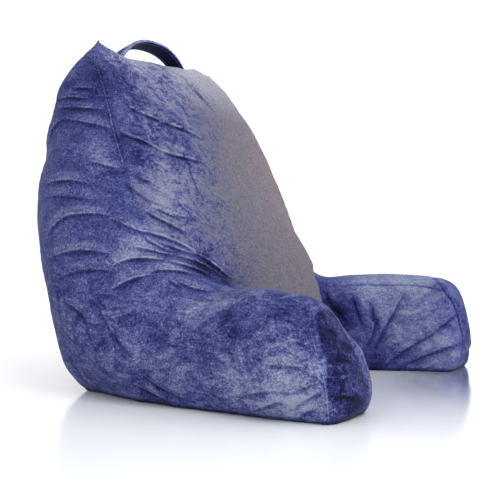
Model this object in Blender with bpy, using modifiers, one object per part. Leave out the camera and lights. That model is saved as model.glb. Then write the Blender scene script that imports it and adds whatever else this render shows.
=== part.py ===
"""Reading pillow: one filled body of sewn panels, a backrest with two short arms, and a strap handle on its top edge.

x runs across the pillow, y from the front of its arms to its back and z up, in metres. The body is made as it is
sewn: each panel is spread between its seams and puffed out by its crown, and then the main folds are pressed in.
"""

import math
from collections import namedtuple

import bmesh
import bpy
from mathutils import Vector

# Numbers of cage cells along the seams
ARM_CELLS = 4
EDGE_CELLS = 7
INNER_CELLS = 3
CAP_CELLS = 4
WIDTH_CELLS = 8
SMOOTHING = 2
FITTING_ROUNDS = 2
SETTLING_ROUNDS = 6
SEAM_CREASE = 0.35
# Cloth lower than this is held by the floor that it lies on
FREE_HEIGHT = 0.03
# Seam points closer than this are one point
JOINED = 0.0001
# Steps along a fold, the widths out to which the cloth follows it, and how much of its trough comes up as a lip
BOW_STEPS = 12
FOLD_WIDTHS = 3
LIP = 0.5

# The strap handle: a folded band that arches over the top seam, its two ends sewn into it
HANDLE_SPAN = 0.172
HANDLE_MIDDLE_Y = 0.409
HANDLE_ROOT_Y = 0.4020
HANDLE_TOP = 0.482
HANDLE_ROOT = 0.444
HANDLE_WIDTH = 0.026
HANDLE_THICKNESS = 0.006
HANDLE_EDGE = 0.0018
HANDLE_CELLS = 28
HANDLE_NARROWING = 0.60
HANDLE_TILT = math.radians(20)
HANDLE_SQUARENESS = 2.5
SEAT_GAP = 0.0003

# How far each panel stands out from the flat sheet between its seams
FRONT_CROWN = 0.030
BACK_CROWN = 0.008
INNER_CROWN = 0.014

# The side panel's crown changes along its front seam, from the front of the arm to the top corner
Crown = namedtuple("Crown", "place along out")
SIDE_CROWNS = (
    Crown("front of the arm", 0.00, 0.020),
    Crown("middle of the arm", 0.20, 0.030),
    Crown("root of the arm", 0.36, 0.011),
    Crown("turned up", 0.50, 0.006),
    Crown("middle", 0.68, 0.015),
    Crown("drawn in", 0.85, 0.024),
    Crown("top corner", 1.00, 0.016),
)

# The seams of the side with x above 0, as points along each; the other side is their mirror image
Seam = namedtuple("Seam", "place x y z")

# Between the front of the pillow and its side: along the top of the arm, then up to the corner
FRONT_SEAM_ARM = (
    Seam("front of the arm", 0.172, 0.006, 0.119),
    Seam("along the arm", 0.172, 0.060, 0.121),
    Seam("arm widening", 0.158, 0.120, 0.124),
    Seam("root of the arm", 0.121, 0.187, 0.131),
)
FRONT_SEAM_EDGE = (
    Seam("root of the arm", 0.121, 0.187, 0.131),
    Seam("leaving the arm", 0.181, 0.243, 0.172),
    Seam("turned up", 0.206, 0.272, 0.218),
    Seam("middle", 0.205, 0.294, 0.273),
    Seam("drawn in", 0.198, 0.322, 0.334),
    Seam("under the corner", 0.178, 0.355, 0.407),
    Seam("top corner", 0.145, 0.390, 0.458),
)
TOP_SEAM = (
    Seam("top corner", 0.145, 0.390, 0.458),
    Seam("dip", 0.110, 0.397, 0.452),
    Seam("handle root", 0.070, 0.402, 0.454),
    Seam("middle", 0.000, 0.405, 0.456),
    Seam("handle root", -0.070, 0.402, 0.454),
    Seam("dip", -0.110, 0.397, 0.452),
    Seam("top corner", -0.145, 0.390, 0.458),
)
BACK_SEAM = (
    Seam("top corner", 0.145, 0.390, 0.458),
    Seam("under the corner", 0.178, 0.420, 0.392),
    Seam("shoulder", 0.197, 0.442, 0.322),
    Seam("middle", 0.204, 0.447, 0.230),
    Seam("low", 0.212, 0.424, 0.130),
    Seam("foot turn", 0.216, 0.394, 0.055),
    Seam("back foot", 0.208, 0.354, 0.000),
)
CAP_SEAM = (
    Seam("front of the arm", 0.172, 0.006, 0.119),
    Seam("crest", 0.205, 0.020, 0.131),
    Seam("shoulder", 0.236, 0.016, 0.105),
    Seam("outer side", 0.250, 0.008, 0.060),
    Seam("front foot", 0.248, 0.000, 0.000),
)
OUTER_FOOT = (
    Seam("front foot", 0.248, 0.000, 0.000),
    Seam("widest", 0.253, 0.130, 0.000),
    Seam("behind the arm", 0.243, 0.258, 0.000),
    Seam("back foot", 0.212, 0.354, 0.000),
)
INNER_FOOT = (
    Seam("corner of the seat", 0.100, 0.168, 0.000),
    Seam("arm widening", 0.113, 0.105, 0.000),
    Seam("along the arm", 0.137, 0.052, 0.000),
    Seam("inner front foot", 0.164, 0.000, 0.000),
)
CAP_FOOT = (
    Seam("inner front foot", 0.164, 0.000, 0.000),
    Seam("cap", 0.205, -0.010, 0.000),
    Seam("front foot", 0.248, 0.000, 0.000),
)
CREASE = (
    Seam("root of the arm", 0.121, 0.187, 0.131),
    Seam("middle", 0.112, 0.176, 0.062),
    Seam("corner of the seat", 0.100, 0.168, 0.000),
)
SEAT_FOOT = (
    Seam("corner of the seat", 0.100, 0.168, 0.000),
    Seam("middle", 0.000, 0.160, 0.000),
    Seam("corner of the seat", -0.100, 0.168, 0.000),
)
BACK_FOOT = (
    Seam("back foot", 0.212, 0.354, 0.000),
    Seam("middle", 0.000, 0.400, 0.000),
    Seam("back foot", -0.212, 0.354, 0.000),
)

# Main folds: each is a soft trough with a low lip on both sides, along a bow through three places on the cloth
Fold = namedtuple("Fold", "place start middle end width depth")
FOLDS = (
    Fold("front, upper", (-0.155, 0.325, 0.362), (-0.096, 0.313, 0.348), (-0.036, 0.299, 0.328), 0.026, 0.007),
    Fold("front, second", (-0.190, 0.316, 0.329), (-0.125, 0.294, 0.313), (-0.050, 0.279, 0.291), 0.026, 0.007),
    Fold("front, right corner", (0.030, 0.365, 0.423), (0.051, 0.352, 0.409), (0.058, 0.333, 0.382), 0.024, 0.006),
    Fold("left side, upper", (-0.190, 0.405, 0.372), (-0.196, 0.378, 0.369), (-0.196, 0.341, 0.364), 0.014, 0.005),
    Fold("left side, bowed", (-0.201, 0.425, 0.316), (-0.198, 0.400, 0.351), (-0.186, 0.318, 0.336), 0.014, 0.006),
    Fold("left side, middle", (-0.223, 0.392, 0.294), (-0.226, 0.353, 0.305), (-0.216, 0.310, 0.288), 0.016, 0.005),
    Fold("left side, long", (-0.249, 0.368, 0.218), (-0.246, 0.318, 0.228), (-0.222, 0.278, 0.215), 0.017, 0.007),
    Fold("left root, first", (-0.226, 0.280, 0.212), (-0.180, 0.246, 0.182), (-0.122, 0.198, 0.140), 0.018, 0.009),
    Fold("left root, second", (-0.246, 0.287, 0.185), (-0.194, 0.246, 0.175), (-0.122, 0.194, 0.137), 0.015, 0.007),
    Fold("left root, third", (-0.252, 0.270, 0.139), (-0.206, 0.223, 0.150), (-0.160, 0.175, 0.134), 0.015, 0.006),
    Fold("left root, low", (-0.264, 0.275, 0.087), (-0.235, 0.225, 0.122), (-0.205, 0.167, 0.133), 0.018, 0.005),
    Fold("left side, sweep", (-0.250, 0.310, 0.041), (-0.257, 0.223, 0.072), (-0.240, 0.145, 0.105), 0.020, 0.005),
    Fold("left arm, front", (-0.263, 0.100, 0.023), (-0.262, 0.052, 0.038), (-0.250, 0.013, 0.060), 0.015, 0.005),
    Fold("left arm, middle", (-0.258, 0.118, 0.078), (-0.251, 0.079, 0.096), (-0.241, 0.039, 0.098), 0.018, 0.004),
    Fold("left cap, upper", (-0.232, 0.029, 0.103), (-0.201, 0.022, 0.095), (-0.188, 0.010, 0.077), 0.016, 0.004),
    Fold("left cap, lower", (-0.249, 0.003, 0.033), (-0.223, -0.005, 0.045), (-0.179, -0.009, 0.034), 0.016, 0.004),
    Fold("right inner, root", (0.125, 0.171, 0.115), (0.122, 0.159, 0.093), (0.121, 0.134, 0.069), 0.016, 0.007),
    Fold("right inner, first", (0.152, 0.112, 0.114), (0.132, 0.113, 0.081), (0.117, 0.123, 0.047), 0.016, 0.005),
    Fold("right inner, second", (0.159, 0.084, 0.108), (0.145, 0.084, 0.087), (0.136, 0.088, 0.070), 0.016, 0.004),
    Fold("right inner, corner", (0.180, -0.006, 0.109), (0.152, 0.022, 0.072), (0.137, 0.056, 0.038), 0.018, 0.006),
    Fold("right inner, cap", (0.198, -0.015, 0.078), (0.154, 0.002, 0.057), (0.144, 0.034, 0.032), 0.018, 0.005),
    Fold("right inner, low", (0.118, 0.114, 0.043), (0.134, 0.061, 0.028), (0.148, 0.021, 0.046), 0.018, 0.005),
    Fold("right root, first", (0.228, 0.290, 0.205), (0.172, 0.247, 0.188), (0.116, 0.198, 0.146), 0.016, 0.008),
    Fold("right root, second", (0.250, 0.262, 0.150), (0.205, 0.225, 0.150), (0.150, 0.178, 0.134), 0.016, 0.006),
    Fold("right side, long", (0.225, 0.405, 0.246), (0.240, 0.350, 0.238), (0.226, 0.296, 0.214), 0.018, 0.006),
    Fold("right side, upper", (0.195, 0.412, 0.352), (0.206, 0.372, 0.343), (0.196, 0.330, 0.330), 0.015, 0.006),
    Fold("right arm, front", (0.262, 0.110, 0.040), (0.262, 0.062, 0.050), (0.250, 0.014, 0.072), 0.015, 0.005),
    Fold("left inner, cap", (-0.185, -0.004, 0.095), (-0.156, 0.014, 0.062), (-0.143, 0.046, 0.034), 0.018, 0.005),
    Fold("left inner, root", (-0.125, 0.171, 0.118), (-0.124, 0.150, 0.086), (-0.124, 0.122, 0.052), 0.017, 0.006),
    Fold("back, left corner", (-0.188, 0.420, 0.372), (-0.136, 0.442, 0.366), (-0.080, 0.452, 0.344), 0.018, 0.006),
    Fold("back, right corner", (0.192, 0.424, 0.356), (0.148, 0.445, 0.330), (0.104, 0.458, 0.292), 0.018, 0.006),
    Fold("back, low left", (-0.206, 0.424, 0.120), (-0.150, 0.452, 0.104), (-0.088, 0.460, 0.112), 0.020, 0.005),
)

# Where the filling has been pushed aside: a place, how far round it the cloth follows, and the move
Push = namedtuple("Push", "place x y z reach dx dy dz")
PUSHES = (
    Push("front of the left arm leans back", -0.19, 0.00, 0.12, 0.11, 0.000, 0.024, -0.008),
    Push("front of the right arm is full", 0.21, 0.00, 0.09, 0.09, 0.000, -0.008, 0.002),
)


def clear_scene():
    for obj in list(bpy.data.objects):
        bpy.data.objects.remove(obj, do_unlink=True)


def curve_point(points, length):
    """The point at a share of the length of a smooth curve through the points."""
    steps = [(b - a).length for a, b in zip(points, points[1:])]
    wanted = length * sum(steps)
    index = 0
    while index < len(steps) - 1 and wanted > steps[index]:
        wanted -= steps[index]
        index += 1
    start, end = points[index], points[index + 1]
    before = points[index - 1] if index else 2 * start - end
    after = points[index + 2] if index + 2 < len(points) else 2 * end - start
    t = min(wanted / steps[index], 1.0)
    lean_in = (end - before) / 2
    lean_out = (after - start) / 2
    if index and steps[index - 1] > 0:
        lean_in = (end - before) * steps[index] / (steps[index] + steps[index - 1])
    if index + 2 < len(points):
        lean_out = (after - start) * steps[index] / (steps[index] + steps[index + 1])
    rise = t * t * (3 - 2 * t)
    return (
        start * (1 - rise)
        + end * rise
        + lean_in * (t * (1 - t) ** 2)
        - lean_out * (t * t * (1 - t))
    )


def seam_line(rows, cells, side=1):
    points = [Vector((side * row.x, row.y, row.z)) for row in rows]
    return [curve_point(points, i / cells) for i in range(cells + 1)]


def side_crown(along):
    """The side panel's crown at a share of the length of its front seam."""
    for before, after in zip(SIDE_CROWNS, SIDE_CROWNS[1:]):
        if along <= after.along:
            share = (along - before.along) / (after.along - before.along)
            return before.out + (after.out - before.out) * share
    return SIDE_CROWNS[-1].out


def settle(grid):
    """Moves each inner point of a panel halfway to the middle of its four neighbours."""
    before = [[point.copy() for point in line] for line in grid]
    for j in range(1, len(grid) - 1):
        for i in range(1, len(grid[0]) - 1):
            around = before[j - 1][i] + before[j + 1][i] + before[j][i - 1] + before[j][i + 1]
            grid[j][i] = (before[j][i] + around / 4) / 2


def spread_panel(top, bottom, left, right, crown, rounds=SETTLING_ROUNDS):
    """A grid of points between four seams, top to bottom and left to right. crown(u) puffs it out."""
    columns, rows = len(top) - 1, len(left) - 1
    grid = []
    for j in range(rows + 1):
        v = j / rows
        line = []
        for i in range(columns + 1):
            u = i / columns
            across = left[j] * (1 - u) + right[j] * u
            down = top[i] * (1 - v) + bottom[i] * v
            corners = (top[0] * (1 - u) + top[-1] * u) * (1 - v)
            corners += (bottom[0] * (1 - u) + bottom[-1] * u) * v
            line.append(across + down - corners)
        grid.append(line)
    for _ in range(rounds):
        settle(grid)
    flat = [[point.copy() for point in line] for line in grid]
    for j in range(1, rows):
        for i in range(1, columns):
            along = flat[j][i + 1] - flat[j][i - 1]
            down = flat[j + 1][i] - flat[j - 1][i]
            out = along.cross(down).normalized()
            swell = 4 * (i / columns) * (1 - i / columns) * 4 * (j / rows) * (1 - j / rows)
            grid[j][i] += out * crown(i / columns) * math.sqrt(swell)
    return grid


def sew(cage, grid, creased):
    """Adds a panel's faces to the cage. Its outer edges named in creased are seams."""
    verts = [[cage.verts.new(point) for point in line] for line in grid]
    for j in range(len(grid) - 1):
        for i in range(len(grid[0]) - 1):
            cage.faces.new((verts[j][i], verts[j + 1][i], verts[j + 1][i + 1], verts[j][i + 1]))
    edges = {
        "top": list(zip(verts[0], verts[0][1:])),
        "bottom": list(zip(verts[-1], verts[-1][1:])),
        "left": [(a[0], b[0]) for a, b in zip(verts, verts[1:])],
        "right": [(a[-1], b[-1]) for a, b in zip(verts, verts[1:])],
    }
    weight = cage.edges.layers.float.get("crease_edge") or cage.edges.layers.float.new("crease_edge")
    for name in creased:
        for a, b in edges[name]:
            cage.edges.get((a, b))[weight] = SEAM_CREASE


def side_seams(side):
    """The seam lines of one side of the pillow."""
    arm = seam_line(FRONT_SEAM_ARM, ARM_CELLS, side)
    edge = seam_line(FRONT_SEAM_EDGE, EDGE_CELLS, side)
    return {
        "arm": arm,
        "edge": edge,
        "front": arm + edge[1:],
        "cap": seam_line(CAP_SEAM, CAP_CELLS + INNER_CELLS, side),
        "foot": seam_line(OUTER_FOOT, ARM_CELLS + EDGE_CELLS, side),
        "back": seam_line(BACK_SEAM, CAP_CELLS + INNER_CELLS, side),
        "crease": seam_line(CREASE, INNER_CELLS, side),
        "inner_foot": seam_line(INNER_FOOT, ARM_CELLS, side) + seam_line(CAP_FOOT, CAP_CELLS, side)[1:],
    }


def add_side(cage, side):
    seams = side_seams(side)
    outer = spread_panel(
        seams["front"], seams["foot"], seams["cap"], seams["back"], lambda u: -side * side_crown(u)
    )
    sew(cage, outer, ("top", "left"))
    inner_top = seams["arm"][::-1] + seams["cap"][1 : CAP_CELLS + 1]
    inner = spread_panel(
        inner_top,
        seams["inner_foot"],
        seams["crease"],
        seams["cap"][CAP_CELLS:],
        lambda u: -side * INNER_CROWN,
        rounds=0,
    )
    sew(cage, inner, ("left",))
    return seams


def body_cage():
    """The coarse cage of the body, open below."""
    cage = bmesh.new()
    right, left = add_side(cage, 1), add_side(cage, -1)
    top = seam_line(TOP_SEAM, WIDTH_CELLS)
    front = spread_panel(
        top,
        seam_line(SEAT_FOOT, WIDTH_CELLS),
        right["edge"][::-1] + right["crease"][1:],
        left["edge"][::-1] + left["crease"][1:],
        lambda u: FRONT_CROWN,
    )
    sew(cage, front, ("top",))
    back = spread_panel(
        top, seam_line(BACK_FOOT, WIDTH_CELLS), right["back"], left["back"], lambda u: -BACK_CROWN
    )
    sew(cage, back, ())
    bmesh.ops.remove_doubles(cage, verts=cage.verts, dist=JOINED)
    return cage


def smoothed(body):
    """A new mesh of the body as its modifiers leave it."""
    bpy.context.view_layer.update()
    graph = bpy.context.evaluated_depsgraph_get()
    return bpy.data.meshes.new_from_object(body.evaluated_get(graph))


def draw_out(body):
    """Moves the cage outwards until the smoothed body passes through the points it was drawn with."""
    wanted = [vert.co.copy() for vert in body.data.vertices]
    for _ in range(FITTING_ROUNDS):
        reached = smoothed(body)
        for vert, target in zip(body.data.vertices, wanted):
            vert.co += target - reached.vertices[vert.index].co
        bpy.data.meshes.remove(reached)


def add_body(collection):
    cage = body_cage()
    mesh = bpy.data.meshes.new("pillow")
    cage.to_mesh(mesh)
    cage.free()
    body = bpy.data.objects.new("pillow", mesh)
    collection.objects.link(body)
    smooth = body.modifiers.new("smooth", "SUBSURF")
    smooth.levels = SMOOTHING
    smooth.render_levels = SMOOTHING
    draw_out(body)
    full = smoothed(body)
    body.modifiers.remove(smooth)
    body.data = full
    bpy.data.meshes.remove(mesh)
    push_filling(full)
    press_folds(full)
    close_base(full)
    return body


def push_filling(mesh):
    for push in PUSHES:
        middle = Vector((push.x, push.y, push.z))
        for vert in mesh.vertices:
            near = 1 - min((vert.co - middle).length / push.reach, 1)
            hold = near * near * (3 - 2 * near) * min(vert.co.z / FREE_HEIGHT, 1)
            vert.co += Vector((push.dx, push.dy, push.dz)) * hold


def bow(fold):
    """Places along a fold, with the share of its depth at each."""
    start, middle, end = Vector(fold.start), Vector(fold.middle), Vector(fold.end)
    for step in range(BOW_STEPS + 1):
        t = step / BOW_STEPS
        place = start * (1 - t) * (1 - 2 * t) + middle * 4 * t * (1 - t) + end * t * (2 * t - 1)
        yield place, min(4 * t, 1) * min(4 * (1 - t), 1)


def press_folds(mesh):
    """Presses the folds into the cloth along its normals."""
    moves = [0.0] * len(mesh.vertices)
    for fold in FOLDS:
        line = list(bow(fold))
        for vert in mesh.vertices:
            gap, share = min(((vert.co - place).length, share) for place, share in line)
            if gap < FOLD_WIDTHS * fold.width:
                away = (gap / fold.width) ** 2
                moves[vert.index] -= fold.depth * share * (1 - LIP * away) * math.exp(-away)
    for vert, move in zip(mesh.vertices, moves):
        vert.co += vert.normal * move * min(vert.co.z / FREE_HEIGHT, 1)


def close_base(mesh):
    """Closes the open underside with a flat face on the floor."""
    work = bmesh.new()
    work.from_mesh(mesh)
    rim = [edge for edge in work.edges if edge.is_boundary]
    bmesh.ops.triangle_fill(work, edges=rim, use_beauty=True)
    bmesh.ops.recalc_face_normals(work, faces=work.faces)
    work.to_mesh(mesh)
    work.free()


def plush(name, colour):
    """Velour: a rough coloured cloth with a soft sheen."""
    material = bpy.data.materials.new(name)
    material.use_nodes = True
    shader = material.node_tree.nodes["Principled BSDF"]
    shader.inputs["Base Color"].default_value = (*colour, 1)
    shader.inputs["Roughness"].default_value = 0.9
    shader.inputs["Metallic"].default_value = 0
    shader.inputs["Sheen Weight"].default_value = 0.5
    return material


def strap_strip():
    """The handle's band as a strip of faces along its arch, narrower and drawn in at its two ends."""
    strip = bmesh.new()
    rows = []
    for step in range(HANDLE_CELLS + 1):
        share = 2 * step / HANDLE_CELLS - 1
        swing = math.sin(share * math.pi / 2)
        x = swing * HANDLE_SPAN / 2
        z = HANDLE_TOP - (HANDLE_TOP - HANDLE_ROOT) * abs(swing) ** HANDLE_SQUARENESS
        y = HANDLE_MIDDLE_Y + (HANDLE_ROOT_Y - HANDLE_MIDDLE_Y) * share**4
        half = HANDLE_WIDTH / 2 * (1 - HANDLE_NARROWING * share**4)
        tilt = HANDLE_TILT * (1 - share**4)
        reach = half * math.cos(tilt)
        drop = half * math.sin(tilt)
        line = [(x, y + reach * across, z - drop * across) for across in (-1, 0, 1)]
        rows.append([strip.verts.new(place) for place in line])
    for before, after in zip(rows, rows[1:]):
        strip.faces.new((before[0], after[0], after[1], before[1]))
        strip.faces.new((before[1], after[1], after[2], before[2]))
    return strip


def add_body_cutter(body, cutters):
    """The body swollen by the gap that its neighbours keep to it."""
    mesh = body.data.copy()
    for vert, grown in zip(mesh.vertices, [v.co + v.normal * SEAT_GAP for v in body.data.vertices]):
        vert.co = grown
    cutter = bpy.data.objects.new("body_cutter", mesh)
    cutter.hide_render = True
    cutter.display_type = "WIRE"
    cutters.objects.link(cutter)
    return cutter


def add_handle(collection, cutter):
    strip = strap_strip()
    mesh = bpy.data.meshes.new("handle")
    strip.to_mesh(mesh)
    strip.free()
    handle = bpy.data.objects.new("handle", mesh)
    collection.objects.link(handle)
    wall = handle.modifiers.new("thickness", "SOLIDIFY")
    wall.thickness = HANDLE_THICKNESS
    wall.offset = 0
    edge = handle.modifiers.new("soft edge", "BEVEL")
    edge.width = HANDLE_EDGE
    edge.segments = 2
    edge.limit_method = "ANGLE"
    seat = handle.modifiers.new("seat on the top seam", "BOOLEAN")
    seat.operation = "DIFFERENCE"
    seat.object = cutter
    return handle


def centre_on_floor(objects, body):
    """Moves the meshes so that the body stands over the middle of the frame."""
    lows = [min(vert.co[axis] for vert in body.data.vertices) for axis in range(2)]
    highs = [max(vert.co[axis] for vert in body.data.vertices) for axis in range(2)]
    back = Vector(((lows[0] + highs[0]) / 2, (lows[1] + highs[1]) / 2, 0))
    for obj in objects:
        for vert in obj.data.vertices:
            vert.co -= back


def main():
    clear_scene()
    collection = bpy.data.collections.new("reading_pillow")
    cutters = bpy.data.collections.new("cutters")
    bpy.context.scene.collection.children.link(collection)
    bpy.context.scene.collection.children.link(cutters)
    body = add_body(collection)
    cutter = add_body_cutter(body, cutters)
    handle = add_handle(collection, cutter)
    body.data.materials.append(plush("indigo velour", (0.060, 0.062, 0.220)))
    handle.data.materials.append(plush("handle velour", (0.070, 0.070, 0.200)))
    centre_on_floor((body, cutter, handle), body)
    for obj in (body, handle):
        obj.data.shade_smooth()


main()
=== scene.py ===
"""Reading pillow in plush velour: one filled body of sewn panels and the strap handle on its top edge."""

import math
from collections import namedtuple

import bpy
import numpy as np
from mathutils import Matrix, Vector
from mathutils.kdtree import KDTree


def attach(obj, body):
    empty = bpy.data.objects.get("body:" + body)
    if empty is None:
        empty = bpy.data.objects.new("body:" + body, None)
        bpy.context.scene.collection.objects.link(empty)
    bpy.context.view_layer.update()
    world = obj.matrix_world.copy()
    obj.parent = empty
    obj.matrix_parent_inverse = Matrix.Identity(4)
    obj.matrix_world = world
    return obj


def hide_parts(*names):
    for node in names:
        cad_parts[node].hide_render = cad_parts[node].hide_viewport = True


# The photograph's camera: level, with its frame moved down a little
CAMERA_AT = (-1.0845, -0.6020, 0.202)
CAMERA_FACES = (0.8717, 0.4901)
CAMERA_LENS = 63.36
CAMERA_SHIFT_UP = -0.036

# The filled body: the size of its cloth's cells, how much it shrinks before it is filled, and how far the cloth may go
CELL = 0.0068
MERGE_DISTANCE = 0.00005
SLACK = 0.0015
PRESSURE = 4.0
SPARE_CLOTH = 0.035
FILLING_FRAMES = 20
FILLING_QUALITY = 5
CLOTH_STIFFNESS = 0.2
EVENING = 10
EASING = 3
EASE_FACTOR = 0.5
MOST_SWELL = 0.007
HELD_HEIGHT = 0.008
HELD_NEAR_SEAM = 0.006

# Each seam is pulled in along its line, and the cloth beside it puckers
SEAM_DEPTH = 0.0012
SEAM_WIDTH = 0.0040
SEAM_NEAR = 0.008
PUCKER_DEPTH = 0.0007
PUCKER_LENGTH = 0.015
PUCKER_REACH = 0.014
PUCKER_WANDER = 2.1
PUCKER_WANDER_TURNS = 61
PUCKER_FADE_TURNS = 37
PUCKER_FADE_START = 1.3
POINTS_PER_METRE = 1000
CORNER_CALM = 0.020
SEAM_FOOT = 0.01

# The near top corner stands up in a point, and the filling rounds the far one
CORNER_POINT = Vector((0.0000, -0.0045, 0.0045))
CORNER_REACH = 0.018
ROUND_REACH = 0.042
ROUNDING = 20

# The base lies flat, and the foot of the cloth turns in under the body
BASE_THICKNESS = 0.002
BASE_BLEND = 0.05
FOOT_TURN = 0.0030
FOOT_HEIGHT = 0.008

# Where the filling pushes the cloth out, or lets it sink: a place, how far round it the push reaches, and the push.
# With 2 sides it has a mirror image.
Swell = namedtuple("Swell", "place x y z reach push_x push_y push_z sides")
SWELLS = (
    Swell("rear shoulder", -0.172, 0.187, 0.405, 0.05, -0.007, 0.0125, 0.0, 2),
    Swell("rear shoulder top", -0.158, 0.176, 0.434, 0.022, -0.003, 0.005, 0.001, 2),
    Swell("top edge, near end", -0.12, 0.168, 0.455, 0.028, 0.0, 0.0, 0.0095, 1),
    Swell("top edge, near", -0.06, 0.175, 0.456, 0.035, 0.0, 0.0, 0.006, 1),
    Swell("top edge, middle", 0.0, 0.178, 0.456, 0.035, 0.0, 0.0, 0.007, 1),
    Swell("top edge, far", 0.06, 0.175, 0.456, 0.035, 0.0, 0.0, 0.01, 1),
    Swell("top edge, far end", 0.108, 0.171, 0.453, 0.032, 0.0, 0.0, 0.014, 1),
    Swell("far top corner", 0.156, 0.155, 0.435, 0.036, 0.0045, 0.0, 0.0085, 1),
    Swell("far arm end, top", 0.206, -0.215, 0.13, 0.026, 0.0, 0.005, -0.003, 1),
    Swell("far arm end, foot", 0.236, -0.236, 0.018, 0.04, 0.001, -0.0055, 0.0, 1),
    Swell("rear foot", -0.212, 0.15, 0.008, 0.042, -0.0095, 0.0105, 0.0, 2),
    Swell("root of the arm", 0.206, 0.02, 0.186, 0.032, -0.003, 0.005, -0.0035, 2),
    Swell("root of the far arm", 0.182, 0.0, 0.165, 0.038, -0.003, 0.0165, -0.011, 1),
    Swell("far edge above the root", 0.194, 0.034, 0.216, 0.036, 0.0, -0.002, 0.0, 1),
    Swell("arm, top", 0.2, -0.16, 0.126, 0.05, 0.0, 0.0, 0.006, 2),
    Swell("arm end, top", -0.232, -0.214, 0.118, 0.028, -0.003, -0.004, 0.006, 2),
    Swell("arm end, inner foot", -0.163, -0.236, 0.018, 0.034, 0.003, -0.0055, 0.0, 2),
    Swell("arm end, inner top", -0.172, -0.225, 0.092, 0.026, -0.0015, 0.003, -0.001, 2),
)

# The seams of the side with x above 0, as points along each; the other side is their mirror image
Seam = namedtuple("Seam", "place x y z")
FRONT_SEAM = (
    Seam("front of the arm", 0.172, -0.221, 0.119),
    Seam("along the arm", 0.172, -0.167, 0.121),
    Seam("arm widening", 0.158, -0.107, 0.124),
    Seam("root of the arm", 0.121, -0.040, 0.131),
    Seam("leaving the arm", 0.181, 0.016, 0.172),
    Seam("turned up", 0.206, 0.045, 0.218),
    Seam("middle", 0.205, 0.067, 0.273),
    Seam("drawn in", 0.198, 0.095, 0.334),
    Seam("under the corner", 0.178, 0.128, 0.407),
    Seam("top corner", 0.145, 0.163, 0.458),
)
TOP_SEAM = (
    Seam("top corner", 0.145, 0.163, 0.458),
    Seam("dip", 0.110, 0.170, 0.452),
    Seam("handle root", 0.070, 0.175, 0.454),
    Seam("middle", 0.000, 0.178, 0.456),
    Seam("handle root", -0.070, 0.175, 0.454),
    Seam("dip", -0.110, 0.170, 0.452),
    Seam("top corner", -0.145, 0.163, 0.458),
)
BACK_SEAM = (
    Seam("top corner", 0.145, 0.163, 0.458),
    Seam("under the corner", 0.178, 0.193, 0.392),
    Seam("shoulder", 0.197, 0.215, 0.322),
    Seam("middle", 0.204, 0.220, 0.230),
    Seam("low", 0.212, 0.197, 0.130),
    Seam("foot turn", 0.216, 0.167, 0.055),
    Seam("back foot", 0.208, 0.127, 0.000),
)
CAP_SEAM = (
    Seam("front of the arm", 0.172, -0.221, 0.119),
    Seam("crest", 0.205, -0.196, 0.131),
    Seam("shoulder", 0.236, -0.198, 0.105),
    Seam("outer side", 0.250, -0.219, 0.060),
    Seam("front foot", 0.248, -0.227, 0.000),
)
END_SEAM = (
    Seam("front of the arm", 0.172, -0.221, 0.119),
    Seam("turned down", 0.179, -0.236, 0.095),
    Seam("middle", 0.184, -0.244, 0.050),
    Seam("inner front foot", 0.184, -0.240, 0.000),
)
CREASE = (
    Seam("root of the arm", 0.121, -0.040, 0.131),
    Seam("middle", 0.112, -0.051, 0.062),
    Seam("corner of the seat", 0.100, -0.059, 0.000),
)

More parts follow.
